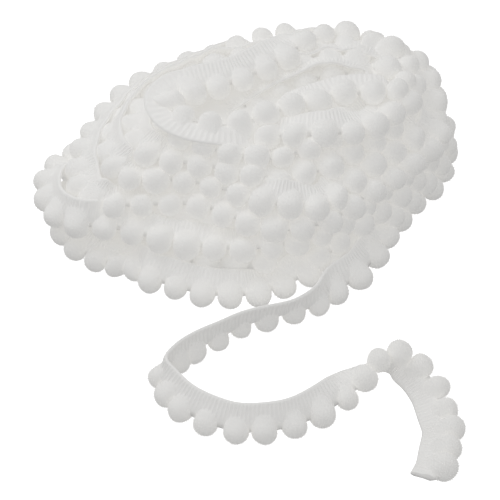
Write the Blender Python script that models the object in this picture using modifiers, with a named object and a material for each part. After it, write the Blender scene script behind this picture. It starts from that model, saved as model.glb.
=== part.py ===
"""Pompom fringe trim, wound as an oval heap with one loose end.

The trim is a ribbed woven band with pompoms along its lower edge.  Its whole course is one line
through the pompoms: from the loose tip, along the floor, and then round the heap turn by turn.
The heap is one solid of its wound form.  The loose end is a band with its pompoms fused to it.
"""
import bpy
import numpy as np

for old in list(bpy.data.objects):
    bpy.data.objects.remove(old)

# Driving sizes in millimetres
MM = 0.001
POMPOM_DIAMETER = 10.0
POMPOM_PITCH = 12.7
HANG_DEPTH = 14.0          # from the band's upper edge to a pompom's centre
BAND_WIDTH = 12.0
BAND_THICKNESS = 1.8
CENTRE_X = -2.43           # the middle of the whole trim in the course table's frame
CENTRE_Y = -7.19

# The heap's inner mound, a turned oval dome that the turns lie against
MOUND_X = -2.0
MOUND_Y = 38.0
MOUND_TURN_DEG = 14.0
MOUND_COLUMNS = 72

# Rings of the mound: height, shift along its long and short axes, half length, half width
MOUND_RINGS = [
    (-3.0, 0, -3, 79, 60), (5.0, 0, -3, 79, 60), (12.0, 0, -1, 77, 57), (20.0, 1, 1, 72, 50),
    (27.0, 2, 3, 66, 45), (33.0, 3, 5, 62, 41), (38.0, 4, 8, 56, 36), (42.0, 4, 9, 50, 31),
    (44.5, 4, 9, 41, 24), (45.5, 4, 9, 22, 10),
]
WOUND_BAND_THICKNESS = 3.2     # the heap's bands are thickened, as its turns are one solid
WOUND_SINK = 0.5               # how far the heap's lowest pompoms sink into its flat foot
VOXEL = 1.3
WOUND_SHARE_KEPT = 0.048       # share of the voxel skin's triangles that the heap keeps

# Course of the pompom line.  Lean turns the band about that line: 0 hangs it straight down with
# the pompoms below, 90 lays it flat with the pompoms outside, 270 lays it flat with them inside.
COURSE_COLUMNS = ("x", "y", "height", "lean")
LOOSE_END = [
    (81, -133, 5, 100), (84, -121, 5, 104), (85, -108, 5, 104), (83, -95, 5.5, 106), (77, -84, 8.5, 122),
    (69, -77, 13, 150), (61, -76, 15, 185), (55, -81, 13, 225), (50, -88, 9, 265), (44, -95, 6, 295),
    (37, -102, 5, 312), (28, -108, 5, 320), (17, -113, 5, 322), (6, -115, 5, 322), (-7, -115, 5, 322),
    (-20, -109, 5, 322), (-30, -101, 5, 325), (-38, -92, 5, 332), (-39, -83, 5, 345), (-33, -75, 5, 358),
    (-24, -68, 5, 358), (-14, -60, 5, 354), (-4, -54, 5, 350), (7, -49, 5, 345), (19, -45, 5, 345),
    (30, -40, 5, 370), (39, -32, 5, 392), (48, -22, 5, 402),
]
FIRST_TURN = [
    (58, -7, 5, 402), (73, 13, 5, 400), (87, 38, 5, 395), (89, 62, 5, 390), (80, 86, 5, 385),
    (60, 105, 5, 380), (32, 113, 5, 380), (2, 111, 5, 380), (-28, 101, 5, 385), (-56, 82, 5, 385),
    (-74, 52, 5, 390), (-83, 20, 5, 395), (-81, -4, 5, 398), (-62, -18, 5, 400), (-40, -28, 5, 400),
    (-18, -35, 5, 400), (4, -33, 5, 400), (22, -25, 6, 400),
]
SECOND_TURN = [
    (38, -14, 9, 402), (54, 2, 12, 402), (70, 19, 12, 400), (81, 38, 12, 395), (84, 60, 12, 390),
    (75, 84, 13, 385), (56, 101, 13, 380), (30, 110, 13, 380), (2, 108, 13, 380), (-26, 98, 13, 385),
    (-52, 80, 14, 385), (-71, 54, 16, 395), (-86, 39, 20, 420), (-94, 22, 20, 435), (-91, 5, 20, 435),
    (-82, -7, 20, 425), (-62, -9, 19, 415), (-42, -14, 19, 408), (-20, -20, 19, 406), (0, -21, 19, 406),
    (15, -18, 19, 406),
]
THIRD_TURN = [
    (34, -8, 19, 405), (52, 8, 20, 404), (67, 22, 20, 402), (79, 38, 20, 398), (82, 58, 20, 392),
    (75, 80, 20, 388), (57, 97, 20, 385), (31, 107, 20, 382), (4, 105, 20, 382), (-22, 96, 20, 385),
    (-47, 80, 20, 388), (-65, 58, 22, 392), (-75, 32, 26, 400), (-78, 12, 28, 420), (-71, -4, 28, 430),
    (-54, -8, 27, 425), (-36, -6, 27, 415), (-18, -8, 27, 410), (0, -14, 27, 410), (13, -20, 27, 410),
    (25, -18, 27, 410), (38, -8, 27, 410),
]
FOURTH_TURN = [
    (54, 5, 28, 408), (67, 18, 29, 405), (77, 34, 29, 402), (80, 54, 29, 398), (73, 76, 29, 392),
    (56, 93, 29, 388), (32, 104, 29, 385), (6, 103, 29, 385), (-18, 95, 29, 388), (-43, 79, 30, 390),
    (-62, 57, 32, 395), (-71, 32, 34, 405), (-62, 8, 35, 420), (-44, 0, 35, 420), (-28, -1, 35, 420),
    (-10, -4, 35, 420), (6, -8, 36, 420), (20, -9, 36, 420), (33, -5, 36, 418), (46, 4, 36, 416),
    (57, 13, 36, 414),
]
FIFTH_TURN = [
    (67, 28, 36, 410), (74, 46, 37, 405), (70, 68, 37, 400), (54, 88, 37, 395), (31, 99, 37, 390),
    (6, 98, 37, 390), (-16, 90, 38, 392), (-38, 75, 39, 396), (-57, 54, 41, 405), (-62, 32, 42, 420),
    (-50, 15, 42, 430), (-30, 11, 42, 430), (-14, 10, 42, 430), (2, 9, 43, 430), (14, 5, 44, 430),
    (26, 2, 44, 430), (38, 7, 44, 428), (50, 16, 44, 426),
]
SIXTH_TURN = [
    (60, 30, 44, 424), (65, 50, 44, 420), (60, 70, 44, 415), (44, 86, 44, 410), (20, 91, 44, 410),
    (-4, 87, 44, 410), (-26, 76, 45, 415), (-44, 60, 45, 420), (-50, 44, 46, 428), (-40, 30, 46, 435),
    (-20, 24, 47, 438), (0, 20, 48, 438), (14, 18, 48, 438), (27, 18, 48, 438), (40, 19, 48, 438),
    (54, 25, 48, 436),
]
TOP_LOOP = [
    (68, 40, 46, 434), (76, 57, 43, 436), (75, 72, 42, 440), (66, 87, 42, 444), (55, 94, 43, 448),
    (43, 98, 44, 452), (33, 97, 46, 470), (26, 88, 50, 540), (17, 76, 50, 610), (6, 65, 50, 630),
    (-5, 57, 50, 632), (-16, 54, 50, 632), (-27, 51, 50, 630), (-31, 43, 50, 628), (-27, 35, 50, 628),
    (-17, 32, 50, 628), (-6, 30, 50, 622), (5, 31, 50, 560), (14, 36, 49, 470), (25, 41, 48, 445),
    (36, 46, 47, 442), (48, 49, 46, 442), (60, 50, 44, 442),
]
TURNS = FIRST_TURN + SECOND_TURN + THIRD_TURN + FOURTH_TURN + FIFTH_TURN + SIXTH_TURN + TOP_LOOP
STEPS_PER_PITCH = 4
LOOSE_POMPOMS = 23         # pompoms on the loose end; the next one belongs to the heap
END_REACH = 0.52           # how much of the last step the loose end covers towards the heap's band


def smooth_course(rows, step):
    """Cubic line through the table's rows, with tangents from their neighbours, at even steps."""
    knots = np.array(rows, float)
    at = np.concatenate([[0.0], np.cumsum(np.linalg.norm(np.diff(knots[:, :3], axis=0), axis=1))])
    slope = np.gradient(knots, at, axis=0)
    fine = np.linspace(0.0, at[-1], int(at[-1]) + 1)
    low = np.clip(np.searchsorted(at, fine, side="right") - 1, 0, len(knots) - 2)
    span = (at[low + 1] - at[low])[:, None]
    t = (fine - at[low])[:, None] / span
    line = ((2 * t**3 - 3 * t**2 + 1) * knots[low] + (t**3 - 2 * t**2 + t) * span * slope[low]
            + (3 * t**2 - 2 * t**3) * knots[low + 1] + (t**3 - t**2) * span * slope[low + 1])
    run = np.concatenate([[0.0], np.cumsum(np.linalg.norm(np.diff(line[:, :3], axis=0), axis=1))])
    even = np.linspace(0.0, run[-1], int(round(run[-1] / step)) + 1)
    line = np.stack([np.interp(even, run, line[:, k]) for k in range(4)], axis=1)
    line[:, 2] = np.maximum(line[:, 2], POMPOM_DIAMETER / 2)
    return line


def trim_frames(line):
    """Place, run direction, hang direction and face direction of the trim at each step."""
    place = line[:, :3] - [CENTRE_X, CENTRE_Y, 0.0]
    run = np.gradient(place, axis=0)
    run /= np.linalg.norm(run, axis=1)[:, None]
    side = np.stack([run[:, 1], -run[:, 0], np.zeros(len(run))], axis=1)
    side /= np.linalg.norm(side, axis=1)[:, None]
    down = np.cross(run, side)
    down *= -np.sign(down[:, 2:3])
    lean = np.radians(line[:, 3])[:, None]
    hang = down * np.cos(lean) + side * np.sin(lean)
    return place, run, hang, np.cross(run, hang)


def add_object(name, points, faces, collection):
    """A mesh object from points in millimetres and faces by index."""
    mesh = bpy.data.meshes.new(name)
    mesh.from_pydata([tuple(p) for p in np.asarray(points) * MM], [], [tuple(f) for f in faces])
    mesh.validate()
    obj = bpy.data.objects.new(name, mesh)
    collection.objects.link(obj)
    return obj


def grid_faces(rows, columns):
    """Quads between rings of the same number of points, each ring closed on itself."""
    a = np.arange(rows - 1)[:, None] * columns + np.arange(columns)[None, :]
    b = np.arange(rows - 1)[:, None] * columns + (np.arange(columns)[None, :] + 1) % columns
    return np.stack([a, b, b + columns, a + columns], axis=-1).reshape(-1, 4)


def mound_dome():
    """The inner mound: turned oval rings from the table, closed above and below."""
    azimuth = np.linspace(0.0, 2 * np.pi, MOUND_COLUMNS, endpoint=False)
    turn = np.radians(MOUND_TURN_DEG)
    height, shift_long, shift_wide, half_long, half_wide = np.array(MOUND_RINGS).T[:, :, None]
    long_way = shift_long + half_long * np.cos(azimuth)
    wide_way = shift_wide + half_wide * np.sin(azimuth)
    x = MOUND_X - CENTRE_X + long_way * np.cos(turn) - wide_way * np.sin(turn)
    y = MOUND_Y - CENTRE_Y + long_way * np.sin(turn) + wide_way * np.cos(turn)
    points = np.stack([x, y, np.broadcast_to(height, x.shape)], axis=-1).reshape(-1, 3)
    rows = len(MOUND_RINGS)
    faces = [tuple(f) for f in grid_faces(rows, MOUND_COLUMNS)]
    faces.append(tuple(range(MOUND_COLUMNS - 1, -1, -1)))
    faces.append(tuple((rows - 1) * MOUND_COLUMNS + k for k in range(MOUND_COLUMNS)))
    return points, faces


def join(meshes):
    """Several sets of points and faces as one."""
    points = []
    faces = []
    start = 0
    for some_points, some_faces in meshes:
        points.append(some_points)
        faces += [tuple(k + start for k in f) for f in some_faces]
        start += len(some_points)
    return np.concatenate(points), faces


def band_strip(place, hang, face, thickness):
    """A band: a flat strip with four corners, from its upper edge down to the pompoms."""
    upper = place - hang * HANG_DEPTH
    lower = place - hang * (HANG_DEPTH - BAND_WIDTH)
    half = face * thickness / 2
    rings = np.stack([upper - half, upper + half, lower + half, lower - half], axis=1)
    count = len(place)
    faces = [tuple(f) for f in grid_faces(count, 4)]
    faces.append((3, 2, 1, 0))
    faces.append(tuple((count - 1) * 4 + k for k in range(4)))
    return rings.reshape(-1, 3), faces


def pompom_balls(centres):
    """Low balls with eight sides and a small flat top and foot, so that they rest level."""
    turn = np.linspace(0.0, 2 * np.pi, 8, endpoint=False)
    rise = np.radians([-90.0, -40.0, 0.0, 40.0, 90.0])
    radius = POMPOM_DIAMETER / 2
    across = radius * np.array([0.36, 0.80, 1.0, 0.80, 0.36])
    ball = np.stack([across[:, None] * np.cos(turn), across[:, None] * np.sin(turn),
                     np.repeat(radius * np.sin(rise)[:, None], 8, axis=1)], axis=-1).reshape(-1, 3)
    faces = [tuple(f) for f in grid_faces(5, 8)] + [tuple(range(7, -1, -1)), tuple(range(32, 40))]
    points = (centres[:, None, :] + ball[None]).reshape(-1, 3)
    return points, [tuple(k + 40 * n for k in f) for n in range(len(centres)) for f in faces]


def boolean(obj, other, how):
    """An exact Boolean of a cutter or fused piece, kept as a modifier."""
    cut = obj.modifiers.new(other.name, "BOOLEAN")
    cut.operation = how
    cut.solver = "EXACT"
    cut.object = other


def material(name, colour, rough):
    """A plain matt material for one sub-part."""
    made = bpy.data.materials.new(name)
    made.use_nodes = True
    node = made.node_tree.nodes["Principled BSDF"]
    node.inputs["Base Color"].default_value = (*colour, 1.0)
    node.inputs["Roughness"].default_value = rough
    return made


parts = bpy.data.collections.new("pompom_fringe_trim")
guides = bpy.data.collections.new("guides")
bpy.context.scene.collection.children.link(parts)
bpy.context.scene.collection.children.link(guides)

course = smooth_course(LOOSE_END + TURNS, POMPOM_PITCH / STEPS_PER_PITCH)
place, run, hang, face = trim_frames(course)
pompoms = place[STEPS_PER_PITCH // 2::STEPS_PER_PITCH]
parting = LOOSE_POMPOMS * STEPS_PER_PITCH

# The heap: one solid of the mound, the wound bands and their pompoms under one skin
wound_balls = pompom_balls(pompoms[LOOSE_POMPOMS:] - [0, 0, WOUND_SINK])
start = parting + 1
wound_band = band_strip(place[start:], hang[start:], face[start:], WOUND_BAND_THICKNESS)
points, faces = join([mound_dome(), wound_band, wound_balls])
wound_hank = add_object("wound_hank", points, faces, parts)
wound_hank.data.materials.append(material("wound_trim", (0.83, 0.83, 0.81), 0.95))
skin = wound_hank.modifiers.new("one_skin", "REMESH")
skin.mode = "VOXEL"
skin.voxel_size = VOXEL * MM
fewer = wound_hank.modifiers.new("fewer_faces", "DECIMATE")
fewer.ratio = WOUND_SHARE_KEPT
corners = [(x, y, z) for z in (-20.0, 0.0) for x, y in ((-150, -150), (150, -150), (150, 150), (-150, 150))]
floor_faces = [(3, 2, 1, 0), (4, 5, 6, 7), (0, 1, 5, 4), (1, 2, 6, 5), (2, 3, 7, 6), (3, 0, 4, 7)]
floor_block = add_object("floor_block", corners, floor_faces, guides)
boolean(wound_hank, floor_block, "DIFFERENCE")

# The loose end: a band with its pompoms fused on
reached = [np.vstack([way[:start], way[parting] + END_REACH * (way[start] - way[parting])])
           for way in (place, hang, face)]
points, faces = band_strip(*reached, BAND_THICKNESS)
loose_end = add_object("loose_end", points, faces, parts)
loose_end.data.materials.append(material("loose_trim", (0.80, 0.80, 0.78), 0.95))
points, faces = pompom_balls(pompoms[:LOOSE_POMPOMS])
loose_pompoms = add_object("loose_pompoms", points, faces, guides)
boolean(loose_end, loose_pompoms, "UNION")

for helper in guides.objects:
    helper.hide_render = True
    helper.display_type = "WIRE"
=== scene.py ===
"""Pompom fringe trim: one length of ribbed woven band with pompoms, wound as a heap with a loose end."""
import bpy
import numpy as np
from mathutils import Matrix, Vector


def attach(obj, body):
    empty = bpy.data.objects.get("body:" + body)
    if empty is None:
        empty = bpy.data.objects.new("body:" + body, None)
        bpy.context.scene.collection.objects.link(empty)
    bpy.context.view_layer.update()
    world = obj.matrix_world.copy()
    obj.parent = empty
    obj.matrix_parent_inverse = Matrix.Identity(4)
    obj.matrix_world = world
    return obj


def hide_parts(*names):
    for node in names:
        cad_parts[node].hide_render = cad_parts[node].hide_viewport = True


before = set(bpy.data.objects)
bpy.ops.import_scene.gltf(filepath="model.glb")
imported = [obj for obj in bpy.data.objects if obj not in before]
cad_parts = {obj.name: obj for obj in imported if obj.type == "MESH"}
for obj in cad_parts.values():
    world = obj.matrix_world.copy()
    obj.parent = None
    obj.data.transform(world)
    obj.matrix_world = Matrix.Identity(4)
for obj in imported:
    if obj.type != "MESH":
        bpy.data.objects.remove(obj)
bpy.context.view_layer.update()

# Camera, floor and lights
# The photo looks down at 45 degrees on a white table, with a long lens and soft light from all round.
# The table glows white but gives the trim no diffuse light, so that the trim keeps its own soft shade.
view_aim = Vector((0.00243, 0.00719, 0.0))
view_height = np.radians(45.0)
view_distance = 1.30
camera_data = bpy.data.cameras.new("photo_camera")
camera_data.lens = 208.7
camera_data.sensor_width = 36.0
camera_data.clip_end = 20.0
camera = bpy.data.objects.new("photo_camera", camera_data)
camera.location = view_aim + Vector((0.0, -np.cos(view_height), np.sin(view_height))) * view_distance
camera.rotation_euler = (view_aim - camera.location).to_track_quat("-Z", "Y").to_euler()
bpy.context.scene.collection.objects.link(camera)
bpy.context.scene.camera = camera
bpy.context.scene.view_settings.view_transform = "Standard"
bpy.context.scene.view_settings.gamma = 1.25

table_half = 3
floor_mesh = bpy.data.meshes.new("white_table")
floor_mesh.from_pydata([(-table_half, -table_half, 0), (table_half, -table_half, 0),
                        (table_half, table_half, 0), (-table_half, table_half, 0)], [], [(0, 1, 2, 3)])
white_table = bpy.data.objects.new("white_table", floor_mesh)
bpy.context.scene.collection.objects.link(white_table)
table_paint = bpy.data.materials.new("white_table")
table_paint.use_nodes = True
table_node = table_paint.node_tree.nodes["Principled BSDF"]
table_node.inputs["Base Color"].default_value = (0.9, 0.9, 0.9, 1.0)
table_node.inputs["Roughness"].default_value = 0.9
table_node.inputs["Specular IOR Level"].default_value = 0.0
table_node.inputs["Emission Color"].default_value = (1.0, 1.0, 1.0, 1.0)
table_node.inputs["Emission Strength"].default_value = 0.9
floor_mesh.materials.append(table_paint)
white_table.visible_diffuse = False

# The studio is about three times as bright above as below
world = bpy.data.worlds.new("soft_studio")
world.use_nodes = True
sky = world.node_tree.nodes["Background"]
sky.inputs["Color"].default_value = (1.0, 1.0, 1.0, 1.0)
sky_way = world.node_tree.nodes.new("ShaderNodeTexCoord")
sky_split = world.node_tree.nodes.new("ShaderNodeSeparateXYZ")
sky_rise = world.node_tree.nodes.new("ShaderNodeMapRange")
sky_rise.inputs["From Min"].default_value = -1.0
sky_rise.inputs["To Min"].default_value = 0.16
sky_rise.inputs["To Max"].default_value = 0.525
world.node_tree.links.new(sky_way.outputs["Generated"], sky_split.inputs["Vector"])
world.node_tree.links.new(sky_split.outputs["Z"], sky_rise.inputs["Value"])
world.node_tree.links.new(sky_rise.outputs["Result"], sky.inputs["Strength"])
bpy.context.scene.world = world
for name, place, power, size in (
    # name, place in metres, watts, width in metres
    ("key_softbox", (-0.26, 0.20, 0.42), 0.5, 0.4),
    ("fill_softbox", (-0.4, -0.9, 0.8), 0.5, 0.8),
):
    lamp = bpy.data.lights.new(name, "AREA")
    lamp.energy = power
    lamp.size = size
    light = bpy.data.objects.new(name, lamp)
    light.location = place
    light.rotation_euler = (-Vector(place)).to_track_quat("-Z", "Y").to_euler()
    bpy.context.scene.collection.objects.link(light)

# Course of the trim
# One unbroken length of trim, led along the floor from its cut tip and then wound turn upon turn into
# a heap.  Each row is a place of the pompom line in millimetres and the lean of the band there: 0 hangs
# it straight down, 90 lays it flat with the pompoms outside, 270 lays it flat with them inside.
course_rows = [
    # x, y, z, lean; the lean runs on past 360 so that it has no jump
    # loose end, from its cut tip
    (79, -140, 5, 98), (82, -133, 5, 100), (84, -122, 5, 104), (86, -111, 5, 104), (84, -100, 5, 105),
    (81, -88, 6, 110), (74, -78, 9, 130), (64, -74, 14, 165), (55, -80, 14, 210), (50, -88, 10, 250),
    (42, -96, 5, 295), (31, -105, 5, 315), (19, -112, 5, 322), (6, -115, 5, 322), (-6, -115, 5, 322),
    (-19, -110, 5, 322), (-30, -102, 5, 325), (-36, -93, 5, 332), (-39, -83, 5, 345), (-31, -74, 5, 358),
    (-24, -68, 5, 358), (-14, -61, 5, 354), (-4, -54, 5, 350), (7, -49, 5, 345), (19, -45, 5, 345),
    (30, -41, 5, 365), (38, -33, 5, 388), (49, -24, 5, 398),
    # first turn, on the floor
    (57, -10, 5, 402), (63, 5, 5, 402), (70, 17, 5, 402), (78, 26, 5, 402), (85, 35, 5, 401),
    (90, 46, 5, 399), (92, 58, 5, 396), (90, 71, 5, 390), (84, 84, 5, 386), (72, 97, 5, 384),
    (56, 107, 5, 380), (36, 113, 5, 380), (14, 113, 5, 380), (-10, 106, 5, 380), (-32, 94, 5, 385),
    (-50, 80, 5, 388), (-64, 62, 5, 394), (-73, 42, 5, 400), (-75, 22, 5, 405), (-70, 4, 5, 410),
    (-60, -10, 5, 414), (-48, -22, 5, 414), (-35, -31, 5, 416), (-22, -35, 5, 416), (-10, -36, 5, 416),
    (2, -35, 5, 416), (13, -31, 5, 415), (25, -25, 5, 413),
    # second turn
    (39, -15, 8, 412), (54, 0, 11, 410), (71, 17, 12, 408), (83, 35, 12, 406), (89, 56, 12, 400),
    (86, 77, 12, 395), (73, 94, 12, 390), (53, 105, 12, 385), (28, 109, 12, 380), (2, 106, 12, 380),
    (-24, 94, 12, 384), (-48, 77, 12, 390), (-68, 59, 11, 398), (-82, 39, 9, 404), (-87, 19, 7, 408),
    (-85, 2, 5, 416), (-77, -9, 5, 420), (-66, -15, 5, 422), (-53, -20, 6, 426), (-40, -21, 9, 432),
    (-28, -20, 10, 440), (-16, -19, 10, 445), (-4, -19, 10, 445), (8, -20, 10, 440), (20, -21, 10, 430),
    # third turn, whose left end stands out as a loop
    (33, -20, 13, 420), (46, -8, 16, 414), (60, 8, 18, 412), (74, 24, 19, 410), (84, 42, 19, 408),
    (86, 60, 19, 402), (83, 78, 19, 396), (70, 93, 19, 390), (50, 103, 19, 385), (26, 107, 19, 380),
    (0, 103, 19, 385), (-25, 95, 19, 388), (-46, 84, 19, 392), (-61, 72, 18, 394), (-71, 59, 17, 402),
    (-77, 46, 14, 410), (-86, 40, 16, 416), (-91, 33, 19, 415), (-93, 24, 20, 405), (-93, 14, 20, 390),
    (-91, 6, 20, 382), (-86, -1, 20, 388), (-77, -7, 20, 400), (-66, -8, 20, 416), (-54, -10, 20, 425),
    (-42, -16, 20, 426), (-30, -18, 20, 428), (-18, -20, 20, 430), (-6, -22, 20, 430), (6, -22, 20, 430),
    (18, -19, 20, 425),
    # fourth turn
    (30, -13, 21, 420), (44, -3, 23, 416), (58, 9, 24, 414), (70, 22, 24, 412), (79, 38, 25, 410),
    (83, 56, 26, 406), (82, 74, 26, 400), (72, 89, 26, 395), (54, 99, 27, 390), (30, 103, 28, 388),
    (4, 101, 28, 386), (-19, 94, 29, 386), (-39, 84, 29, 386), (-55, 71, 28, 388), (-67, 54, 28, 392),
    (-75, 38, 28, 400), (-79, 24, 28, 415), (-78, 11, 28, 425), (-74, 0, 28, 430), (-64, -5, 28, 432),
    (-52, -2, 28, 432), (-40, -1, 28, 432), (-30, -1, 29, 432), (-20, -3, 29, 432), (-10, -11, 29, 432),
    (1, -16, 29, 432), (12, -20, 29, 432), (25, -17, 29, 428),
    # fifth turn
    (37, -12, 28, 425), (48, -2, 28, 422), (58, 7, 27, 420), (67, 17, 27, 418), (75, 26, 27, 415),
    (81, 37, 28, 414), (84, 54, 28, 410), (84, 70, 30, 405), (77, 85, 32, 400), (61, 95, 34, 396),
    (38, 99, 35, 392), (14, 98, 35, 390), (-9, 92, 35, 388), (-29, 83, 35, 388), (-47, 70, 35, 388),
    (-59, 55, 34, 392), (-66, 40, 34, 400), (-66, 23, 35, 412), (-61, 9, 36, 428), (-48, 5, 36, 434),
    (-36, 7, 36, 436), (-22, 5, 36, 436), (-10, -1, 36, 436), (1, -8, 36, 436), (12, -13, 36, 434),
    (24, -12, 36, 430),
    # sixth turn
    (35, -9, 36, 428), (46, 5, 35, 426), (56, 16, 35, 424), (65, 25, 34, 422), (73, 33, 33, 418),
    (80, 45, 32, 416), (83, 60, 33, 412), (80, 76, 35, 410), (69, 88, 37, 415), (54, 96, 38, 425),
    (40, 98, 39, 434), (26, 98, 39, 440), (10, 96, 40, 440), (-6, 91, 40, 438), (-22, 82, 40, 430),
    (-38, 70, 40, 418), (-50, 54, 40, 412), (-56, 38, 40, 415), (-54, 23, 41, 425), (-42, 13, 41, 434),
    (-28, 12, 41, 436), (-14, 8, 41, 438), (0, 1, 42, 438), (14, 0, 42, 436), (27, 3, 41, 434),
    # seventh turn
    (37, 10, 41, 432), (48, 19, 41, 430), (57, 27, 40, 428), (66, 38, 39, 424), (73, 52, 39, 420),
    (75, 66, 40, 420), (69, 80, 42, 422), (55, 87, 44, 425), (36, 87, 45, 425), (16, 84, 45, 420),
    (-4, 76, 45, 410), (-22, 66, 45, 405), (-36, 54, 45, 410), (-43, 40, 45, 420), (-38, 27, 46, 432),
    (-24, 17, 46, 436), (-10, 9, 46, 440), (3, 8, 46, 440), (15, 10, 46, 438), (28, 15, 46, 436),
    # eighth turn
    (41, 24, 46, 434), (53, 34, 45, 430), (62, 46, 45, 428), (66, 60, 45, 424), (61, 72, 46, 420),
    (46, 78, 47, 420), (26, 76, 46, 420), (8, 68, 43, 420), (-7, 58, 39, 420), (-18, 49, 36, 425),
    (-22, 40, 35, 430), (-17, 31, 37, 438), (-7, 25, 41, 442), (3, 20, 46, 442), (15, 18, 50, 442),
    (27, 17, 50, 442), (39, 18, 50, 441), (51, 22, 50, 440),
    # top loop, twisted over so that its pompoms face inwards
    (63, 33, 49, 438), (72, 47, 48, 437), (74, 67, 46, 440), (67, 81, 46, 448), (55, 89, 46, 480),
    (43, 93, 47, 540), (33, 87, 50, 600), (25, 77, 52, 635), (16, 67, 53, 650), (7, 60, 53, 658),
    (-3, 52, 53, 662), (-14, 48, 53, 662), (-25, 45, 53, 658), (-35, 43, 53, 648), (-35, 34, 53, 638),
    (-25, 28, 53, 632), (-14, 26, 53, 630), (-3, 27, 53, 612), (7, 31, 54, 530), (17, 35, 54, 465),
    (28, 37, 53, 450), (40, 43, 52, 444), (53, 45, 51, 442), (65, 45, 50, 450), (73, 53, 49, 500),
    (68, 62, 48, 580), (57, 65, 48, 620), (46, 65, 47, 620), (34, 64, 46, 620), (22, 60, 44, 620),
    (11, 54, 42, 620), (0, 48, 41, 620), (-11, 43, 40, 620), (-20, 38, 39, 620),
]
course_centre = np.array([-2.43, -7.19, 0.0])  # middle of the footprint, which moves to the origin
pompom_radius = 5.3
pompom_pitch = 12.7
hang_depth = 14.0  # from the band's upper edge to the pompom line
section_step = pompom_pitch / 4
measured_pompoms = 28  # the first pompoms sit at the rows' own places
loose_pompom_count = 25
last_pompom_gap = 8  # least length of band past the last pompom


def smooth_course(rows, step):
    """Cubic line through the rows, with tangents from their neighbours, cut at even steps of its length."""
    knots = np.array(rows, float)
    at = np.concatenate([[0.0], np.cumsum(np.linalg.norm(np.diff(knots[:, :3], axis=0), axis=1))])
    slope = np.gradient(knots, at, axis=0)
    fine = np.linspace(0.0, at[-1], int(at[-1]) + 1)
    low = np.clip(np.searchsorted(at, fine, side="right") - 1, 0, len(knots) - 2)
    span = (at[low + 1] - at[low])[:, None]
    t = (fine - at[low])[:, None] / span
    line = ((2 * t**3 - 3 * t**2 + 1) * knots[low] + (t**3 - 2 * t**2 + t) * span * slope[low]
            + (3 * t**2 - 2 * t**3) * knots[low + 1] + (t**3 - t**2) * span * slope[low + 1])
    run = np.concatenate([[0.0], np.cumsum(np.linalg.norm(np.diff(line[:, :3], axis=0), axis=1))])
    even = np.linspace(0.0, run[-1], int(round(run[-1] / step)) + 1)
    row_runs = np.interp(at, fine, run) * step / (even[1] - even[0])
    line = np.stack([np.interp(even, run, line[:, k]) for k in range(4)], axis=1)
    line[:, 2] = np.maximum(line[:, 2], pompom_radius)
    return line, row_runs, even


sway_start, sway_full = 450, 550  # lengths from the cut tip between which the sway sets in
loop_start, loop_full, loop_sway = 420, 330, 0.25  # lengths from the inner end where it dies down, and its share
left_edge, left_fade = -5, 25  # the sway is small left of the one line and behind the other
back_edge, back_fade = 30, 20
least_sway = 0.2
lean_waves = ((11, 17.0, 0.0), (9, 7.3, 1.0))  # degrees, length for a radian, phase
height_wave = (1.2, 11.7, 2.0)


def swayed_course(line, run_mm):
    """Lean and height plus sines of the length, as hand winding gives: share * (wide sine + short sine).

    The share is nothing on the loose end, small in the top loop and small at the heap's left back.
    """
    share = np.interp(run_mm, [sway_start, sway_full, run_mm[-1] - loop_start, run_mm[-1] - loop_full],
                      [0.0, 1.0, 1.0, loop_sway])
    from_left, from_back = (line[:, 0] - left_edge) / left_fade, (back_edge - line[:, 1]) / back_fade
    share *= np.clip(np.maximum(from_left, from_back), least_sway, 1.0)
    line[:, 3] += share * sum(size * np.sin(run_mm / length + phase) for size, length, phase in lean_waves)
    size, length, phase = height_wave
    line[:, 2] += share * size * np.sin(run_mm / length + phase)
    return line


def laid_sections(line):
    """Upper edge and pompom line of the band: edge = place - depth * (down * cos(lean) + side * sin(lean))."""
    place = line[:, :3] - course_centre
    run = np.gradient(place, axis=0)
    run /= np.linalg.norm(run, axis=1)[:, None]
    side = np.stack([run[:, 1], -run[:, 0], np.zeros(len(run))], axis=1)
    side /= np.linalg.norm(side, axis=1)[:, None]
    down = np.cross(run, side)
    down *= -np.sign(down[:, 2:3])
    lean = np.radians(line[:, 3])[:, None]
    hang = down * np.cos(lean) + side * np.sin(lean)
    return place - hang * hang_depth, place


touch_pompom = 5.0  # radii with which pompoms and band push their neighbours away
touch_band = 1.1
touch_margin = 1.5
own_sections = 5
band_stations = (0.05, 0.4, 0.75)  # shares of the way from upper edge to pompom line that feel a touch


def crowded_pairs(points, radius, section):
    """Pairs of points of the trim, more than a few sections apart, that are nearly close enough to touch."""
    square = (points**2).sum(axis=1)
    far = square[:, None] + square[None] - 2 * points @ points.T
    first, second = np.nonzero(np.triu(far < (radius[:, None] + radius[None] + touch_margin) ** 2, 1))
    apart = np.abs(section[first] - section[second]) > own_sections
    return first[apart], second[apart]


pair_rounds = 6
touch_share, length_share, width_share, smooth_share = 0.3, 0.3, 0.5, 0.12
shortest_upper, shortest_lower = 0.55, 0.95  # how far the two lines may shrink in a bend
band_floor = 1.0
no_length = 1e-6


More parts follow.
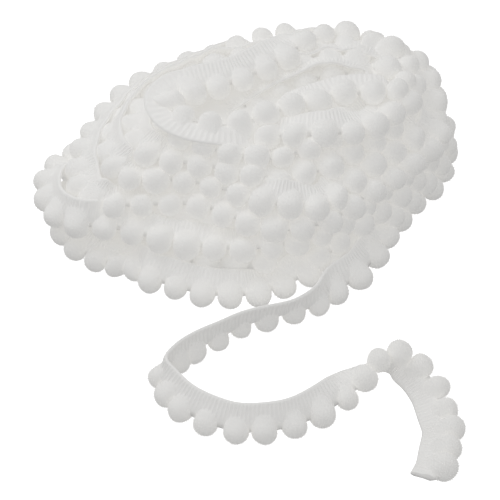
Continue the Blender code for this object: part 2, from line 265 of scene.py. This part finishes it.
def settle(upper, lower, pompom_runs, hold, rounds):
    """Ease the laid trim into place: keep its width and length, part what touches, rest it on the floor.

    Each round moves both lines by a share of what is wrong: hold * (home - line) towards the laid place,
    then shares of the overlap at a touch, of the bend to smooth it, of the excess length and of the width.
    """
    upper_home, lower_home = upper.copy(), lower.copy()
    every = np.arange(len(upper))
    balls = np.round(pompom_runs / section_step).astype(int)
    section = np.concatenate([balls, every, every, every])
    share = np.concatenate([np.ones(len(balls))] + [0 * every + station for station in band_stations])[:, None]
    radius = np.concatenate([0 * balls + touch_pompom, np.full(3 * len(every), touch_band)])
    for k in range(rounds):
        upper += hold * (upper_home - upper)
        lower += hold * (lower_home - lower)
        points = upper[section] * (1 - share) + lower[section] * share
        if k % pair_rounds == 0:
            first, second = crowded_pairs(points.astype(np.float32), radius, section)
        gap = points[first] - points[second]
        far = np.maximum(np.linalg.norm(gap, axis=1), no_length)
        push = gap * (touch_share * np.maximum(radius[first] + radius[second] - far, 0.0) / far)[:, None]
        for index, way in ((first, 1.0), (second, -1.0)):
            np.add.at(upper, section[index], way * push * (1 - share[index]))
            np.add.at(lower, section[index], way * push * share[index])
        for line in (upper, lower):
            line[1:-1] += smooth_share * (line[:-2] + line[2:] - 2 * line[1:-1])
        for line, least in ((upper, shortest_upper), (lower, shortest_lower)):
            run = line[1:] - line[:-1]
            size = np.maximum(np.linalg.norm(run, axis=1), no_length)
            excess = size - np.clip(size, least * section_step, section_step)
            move = run * (length_share * excess / size)[:, None]
            line[:-1] += move
            line[1:] -= move
        width = lower - upper
        size = np.linalg.norm(width, axis=1)
        move = width * (width_share * (size - hang_depth) / size)[:, None]
        upper += move
        lower -= move
        upper[:, 2] = np.maximum(upper[:, 2], band_floor)
        lower[:, 2] = np.maximum(lower[:, 2], pompom_radius)
    return np.stack([upper, lower], axis=1)


line, row_runs, run_mm = smooth_course(course_rows, section_step)
line = swayed_course(line, run_mm)
pompom_runs = row_runs[1:measured_pompoms + 1]
pompom_runs = np.concatenate([pompom_runs, np.arange(pompom_runs[-1] + pompom_pitch,
                                                     len(line) * section_step - last_pompom_gap, pompom_pitch)])
parting = pompom_runs[loose_pompom_count - 1:loose_pompom_count + 1].mean()
trim_length = (len(line) - 1) * section_step
# The loose end is held to its laid place, the heap hardly, and the top loop a little
hold_lengths = [0, 330, 450, trim_length - 450, trim_length - 400]
hold_shares = [0.5, 0.5, 0.05, 0.05, 0.12]
hold = np.interp(np.arange(len(line)) * section_step, hold_lengths, hold_shares)[:, None]
settle_rounds = 60
trim = settle(*laid_sections(line), pompom_runs, hold, settle_rounds)


def trim_at(run_mm):
    """Upper edge and pompom line at lengths along the trim, on cubics between the sections."""
    at = np.clip(run_mm / section_step, 0, len(trim) - 1.000001)
    low = at.astype(int)
    t = (at - low)[:, None, None]
    a, b = trim[low], trim[low + 1]
    before, after = trim[np.maximum(low - 1, 0)], trim[np.minimum(low + 2, len(trim) - 1)]
    return b * t + a * (1 - t) + 0.5 * t * (1 - t) * ((1 - t) * (2 * a - before - b) + t * (2 * b - after - a))


# Woven band
# A narrow ribbed braid of soft white yarn, 12 mm wide, with a corded selvage along its upper edge.  It
# is woven in one length; the ribs are its weft turns, which fade towards the row of pompoms.
def new_piece(name, points_mm, faces, material, smooth=True):
    """A mesh piece from arrays of points in millimetres and of faces with equal corner counts."""
    mesh = bpy.data.meshes.new(name)
    corners = faces.shape[1]
    mesh.vertices.add(len(points_mm))
    mesh.vertices.foreach_set("co", (points_mm * 0.001).astype(np.float32).ravel())
    mesh.loops.add(faces.size)
    mesh.loops.foreach_set("vertex_index", faces.astype(np.int32).ravel())
    mesh.polygons.add(len(faces))
    mesh.polygons.foreach_set("loop_start", np.arange(0, faces.size, corners, dtype=np.int32))
    mesh.polygons.foreach_set("use_smooth", np.full(len(faces), smooth))
    mesh.materials.append(material)
    mesh.update(calc_edges=True)
    mesh.validate()
    piece = bpy.data.objects.new(name, mesh)
    bpy.context.scene.collection.objects.link(piece)
    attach(piece, "root")
    return piece


def ring_quads(rings, around):
    """Quads between rings of points that each close on themselves, as one array of corners."""
    row = np.arange(rings - 1)[:, None] * around
    at = np.arange(around)[None, :]
    after = (at + 1) % around
    return np.stack([row + at, row + after, row + after + around, row + at + around], axis=-1).reshape(-1, 4)


def white_yarn(name, grain_mm, bump):
    """Matt off-white yarn: fine noise bump, faint uneven colour, soft sheen and a faint painted glow that lifts
    its shade.
    """
    made = bpy.data.materials.new(name)
    made.use_nodes = True
    nodes, links = made.node_tree.nodes, made.node_tree.links
    shader = nodes["Principled BSDF"]
    shader.inputs["Roughness"].default_value = 0.95
    shader.inputs["Specular IOR Level"].default_value = 0.15
    shader.inputs["Sheen Weight"].default_value = 0.1
    shader.inputs["Sheen Roughness"].default_value = 0.6
    # Painted glow: the yarn gives off a faint warm light of its own, which lifts its shade in place of light let
    # through the fibres
    shader.inputs["Emission Color"].default_value = (1.0, 0.99, 0.96, 1.0)
    shader.inputs["Emission Strength"].default_value = 0.12
    place = nodes.new("ShaderNodeTexCoord")
    fine = nodes.new("ShaderNodeTexNoise")
    fine.inputs["Scale"].default_value = 1000.0 / grain_mm
    fine.inputs["Detail"].default_value = 4.0
    broad = nodes.new("ShaderNodeTexNoise")
    broad.inputs["Scale"].default_value = 90.0
    broad.inputs["Detail"].default_value = 2.0
    tint = nodes.new("ShaderNodeMix")
    tint.data_type = "RGBA"
    tint.inputs[6].default_value = (0.93, 0.92, 0.90, 1.0)
    tint.inputs[7].default_value = (0.95, 0.945, 0.93, 1.0)
    dent = nodes.new("ShaderNodeBump")
    dent.inputs["Strength"].default_value = bump
    dent.inputs["Distance"].default_value = 0.0006
    links.new(place.outputs["Object"], fine.inputs["Vector"])
    links.new(place.outputs["Object"], broad.inputs["Vector"])
    links.new(broad.outputs["Fac"], tint.inputs[0])
    links.new(tint.outputs[2], shader.inputs["Base Color"])
    links.new(fine.outputs["Fac"], dent.inputs["Height"])
    links.new(dent.outputs["Normal"], shader.inputs["Normal"])
    return made


band_yarn = white_yarn("band_yarn", 0.5, 0.5)
band_profile = [
    # distance from the upper edge, half thickness, share of the rib's height
    (0.0, 0.0, 0.0), (0.7, 0.7, 0.2), (1.6, 0.55, 1.0), (5.6, 0.7, 1.0), (8.8, 1.7, 0.3), (12.6, 0.0, 0.0),
]
rib_pitch = 2.0
rib_height = 0.6
rings_per_rib = 4
floor_clear = 0.05


def band_skin(start, stop):
    """Closed strip: point = edge + share * (pompom line - edge) + facing * (half thickness + rib wave)."""
    run = np.linspace(start, stop, int(round((stop - start) / (rib_pitch / rings_per_rib))) + 1)
    down_width, half, rib_share = np.array(band_profile).T
    front = np.arange(len(down_width))
    loop = np.concatenate([front, front[-2:0:-1]])
    sign = np.concatenate([np.ones(len(front)), -np.ones(len(front) - 2)])
    share = (down_width / hang_depth)[loop]
    section = trim_at(run)[:, :, None, :]
    upper, lower = section[:, 0], section[:, 1]
    across = upper + (lower - upper) * share[None, :, None]
    along = np.gradient(across, axis=0)
    facing = np.cross(along, lower - upper)
    facing /= np.linalg.norm(facing, axis=2)[..., None]
    wave = 0.5 + 0.5 * np.cos(2 * np.pi * run / rib_pitch)
    lift = half[loop][None] + rib_height * rib_share[loop][None] * wave[:, None]
    points = across + facing * (sign[None] * lift)[..., None]
    points[..., 2] = np.maximum(points[..., 2], floor_clear)
    quads = ring_quads(len(run), len(loop))
    k = np.arange(1, len(loop) - 1)
    cap = np.stack([0 * k, k, k + 1], axis=1)
    tris = np.concatenate([quads[:, [0, 1, 2]], quads[:, [0, 2, 3]],
                           cap[:, ::-1], cap + (len(run) - 1) * len(loop)])
    return points.reshape(-1, 3), tris


points, faces = band_skin(0.0, parting)
loose_band = new_piece("loose_band", points, faces, band_yarn)
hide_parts("loose_end")
points, faces = band_skin(parting, trim_length)
heap_band = new_piece("heap_band", points, faces, band_yarn)
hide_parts("wound_hank")


# Pompoms
# Round balls of clipped yarn, about 10 mm across, each bound into the band's lower edge.  They are soft,
# so each is a little uneven and drawn out towards the band.  The one at the cut tip has spread most.
pompom_yarn = white_yarn("pompom_yarn", 0.7, 0.8)
loose_seed, loose_growth, tip_growth = 11, 0.99, 1.15
heap_seed, heap_growth = 12, 1.05
band_side_shift = 1.2
size_spread = 0.06
root_reach = 0.75
lump_waves = np.array([1.6, 2.2, 3.0, 4.0, 5.0])
lump_heights = np.array([0.03, 0.03, 0.025, 0.015, 0.012])


def pompom_skin(run_mm, seed, growth, first_growth, unit):
    """Points and outward ways of balls drawn out at the band: centre + radius * (1 + lumps) * unit."""
    section = trim_at(run_mm)
    hang = section[:, 1] - section[:, 0]
    hang /= np.linalg.norm(hang, axis=1)[:, None]
    centre = section[:, 1] - band_side_shift * hang
    ahead = trim_at(run_mm + 1.0)[:, 1] - trim_at(run_mm - 1.0)[:, 1]
    ahead /= np.linalg.norm(ahead, axis=1)[:, None]
    third = np.cross(hang, ahead)
    third /= np.linalg.norm(third, axis=1)[:, None]
    frames = np.stack([hang, ahead, third], axis=1)
    chance = np.random.default_rng(seed)
    size = growth * pompom_radius * (1 + size_spread * chance.standard_normal(len(centre)).clip(-1.6, 1.6))
    size[0] *= first_growth
    waves = chance.standard_normal((len(centre), len(lump_waves), 3))
    waves *= (lump_waves / np.linalg.norm(waves, axis=2))[..., None]
    phase = chance.uniform(0, 2 * np.pi, (len(centre), len(lump_waves), 1))
    lumps = (np.sin(waves @ unit.T + phase) * lump_heights[None, :, None]).sum(axis=1)
    root = np.clip(-unit[:, 0], 0, 1)
    tongue = np.stack([1 + root_reach * root, np.sqrt(1 + root**2), 1 - root**2], axis=1)
    local = unit[None] * (size[:, None] * (1 + lumps))[..., None] * tongue
    points = centre[:, None] + local @ frames
    points[..., 2] = np.maximum(points[..., 2], floor_clear)
    return points, unit[None] @ frames


def pompom_balls(run_mm, seed, growth, first_growth):
    """Closed balls of 11 rings by 18 points and two poles, on the pompom skin."""
    rows, around = 12, 18
    rise = np.linspace(-np.pi / 2, np.pi / 2, rows + 1)[1:-1]
    turn = np.linspace(0.0, 2 * np.pi, around, endpoint=False)
    ring = np.stack([np.cos(rise)[:, None] * np.cos(turn), np.cos(rise)[:, None] * np.sin(turn),
                     np.sin(rise)[:, None] + 0 * turn], axis=-1).reshape(-1, 3)
    poles = [[0, 0, -1], [0, 0, 1]]
    points, _ = pompom_skin(run_mm, seed, growth, first_growth, np.concatenate([ring, poles]))
    quads = ring_quads(rows - 1, around)
    at = np.arange(around)
    after = (at + 1) % around
    low_pole, high_pole = len(ring), len(ring) + 1
    last = (rows - 2) * around
    tris = np.concatenate([quads[:, [0, 1, 2]], quads[:, [0, 2, 3]],
                           np.stack([after, at, np.full(around, low_pole)], axis=1),
                           np.stack([last + at, last + after, np.full(around, high_pole)], axis=1)])
    faces = (tris[None] + (np.arange(len(run_mm)) * (len(ring) + 2))[:, None, None]).reshape(-1, 3)
    return points.reshape(-1, 3), faces


points, faces = pompom_balls(pompom_runs[:loose_pompom_count], loose_seed, loose_growth, tip_growth)
loose_pompoms = new_piece("loose_pompoms", points, faces, pompom_yarn)
points, faces = pompom_balls(pompom_runs[loose_pompom_count:], heap_seed, heap_growth, 1.0)
heap_pompoms = new_piece("heap_pompoms", points, faces, pompom_yarn)


# Clipped yarn ends
# The pompoms' cut yarn stands out all round as short soft ends, each a thin closed spike.  They are part
# of the balls, rooted in them, and leave the side that is bound into the band bare.
loose_end_count, heap_end_count = 420, 200  # for each pompom, before its bare side is taken off
bare_side = -0.6
yarn_tilt = 0.45
yarn_reach = (0.5, 1.1)
yarn_root = 0.3
yarn_radius = 0.17
foot_corners = (0.0, 2.0944, 4.1888)


def yarn_ends(run_mm, seed, growth, first_growth, count):
    """Thin closed pyramids, foot on the pompom skin: tip = foot + length * (outward way + chance tilt)."""
    k = np.arange(count) + 0.5
    height = 1 - 2 * k / count
    spin = np.pi * (1 + np.sqrt(5)) * k
    wide = np.sqrt(1 - height**2)
    unit = np.stack([height, wide * np.cos(spin), wide * np.sin(spin)], axis=1)
    unit = unit[unit[:, 0] > bare_side]
    foot, way = pompom_skin(run_mm, seed, growth, first_growth, unit)
    foot, way = foot.reshape(-1, 3), way.reshape(-1, 3)
    chance = np.random.default_rng(seed + 100)
    way = way + yarn_tilt * chance.standard_normal(way.shape).clip(-1.5, 1.5)
    way /= np.linalg.norm(way, axis=1)[:, None]
    side = np.cross(way, chance.standard_normal(way.shape))
    side /= np.linalg.norm(side, axis=1)[:, None]
    other = np.cross(way, side)
    tip = foot + way * chance.uniform(*yarn_reach, len(way))[:, None]
    foot = foot - yarn_root * way
    corners = [foot + yarn_radius * (np.cos(a) * side + np.sin(a) * other) for a in foot_corners]
    points = np.stack(corners + [tip], axis=1)
    points[..., 2] = np.maximum(points[..., 2], floor_clear)
    tris = np.array([[0, 1, 3], [1, 2, 3], [2, 0, 3], [0, 2, 1]])
    return points.reshape(-1, 3), (tris[None] + (4 * np.arange(len(tip)))[:, None, None]).reshape(-1, 3)


points, faces = yarn_ends(pompom_runs[:loose_pompom_count], loose_seed, loose_growth, tip_growth,
                          loose_end_count)
loose_yarn_ends = new_piece("loose_yarn_ends", points, faces, pompom_yarn, smooth=False)
points, faces = yarn_ends(pompom_runs[loose_pompom_count:], heap_seed, heap_growth, 1.0, heap_end_count)
heap_yarn_ends = new_piece("heap_yarn_ends", points, faces, pompom_yarn, smooth=False)


# Inner turns
# The heap is wound full, so more of the same trim lies behind the turns that show.  It is seen only
# through small gaps, as a soft uneven mound of yarn.
inner_rings = [
    # height, shift along the long and short axes, half length, half width
    (0.5, 4, -2, 70, 54), (5.0, 4, -2, 70, 54), (12.0, 3, -1, 70, 53), (20.0, 2, 0, 67, 47),
    (27.0, 2, 2, 61, 41), (33.0, 3, 5, 55, 36), (38.0, 4, 8, 49, 30), (41.0, 4, 9, 43, 25),
    (43.0, 4, 9, 35, 19), (44.0, 4, 9, 18, 8), (44.2, 4, 9, 2, 1),
]
mound_levels = 60
mound_round = 160
lump_height = 1.0
mound_middle = (-2.0, 38.0)
rings = np.array(inner_rings)
# Each level is an oval whose middle and halves come from the table, with lumps along and between levels
levels = np.linspace(0, len(rings) - 1, mound_levels)
height, shift_long, shift_wide, half_long, half_wide = [
    np.interp(levels, np.arange(len(rings)), rings[:, k])[:, None] for k in range(5)]
azimuth = np.linspace(0.0, 2 * np.pi, mound_round, endpoint=False)
lump = lump_height * np.sin(23 * azimuth + 3 * levels[:, None]) * np.sin(1.9 * levels[:, None])
long_way = shift_long + (half_long + lump) * np.cos(azimuth)
wide_way = shift_wide + (half_wide + lump) * np.sin(azimuth)
mound_turn = np.radians(14.0)
turn_cos, turn_sin = np.cos(mound_turn), np.sin(mound_turn)
points = np.stack([mound_middle[0] + long_way * turn_cos - wide_way * turn_sin - course_centre[0],
                   mound_middle[1] + long_way * turn_sin + wide_way * turn_cos - course_centre[1],
                   height + 0 * azimuth], axis=-1).reshape(-1, 3)
faces = ring_quads(mound_levels, mound_round)
half = mound_round // 2
low_cap = np.stack([np.arange(0, half - 1), np.arange(2 * half - 1, half, -1),
                    np.arange(2 * half - 2, half - 1, -1), np.arange(1, half)], axis=1)
caps = np.concatenate([low_cap, low_cap[:, ::-1] + (mound_levels - 1) * mound_round])
inner_turns = new_piece("inner_turns", points, np.concatenate([faces, caps]), band_yarn)
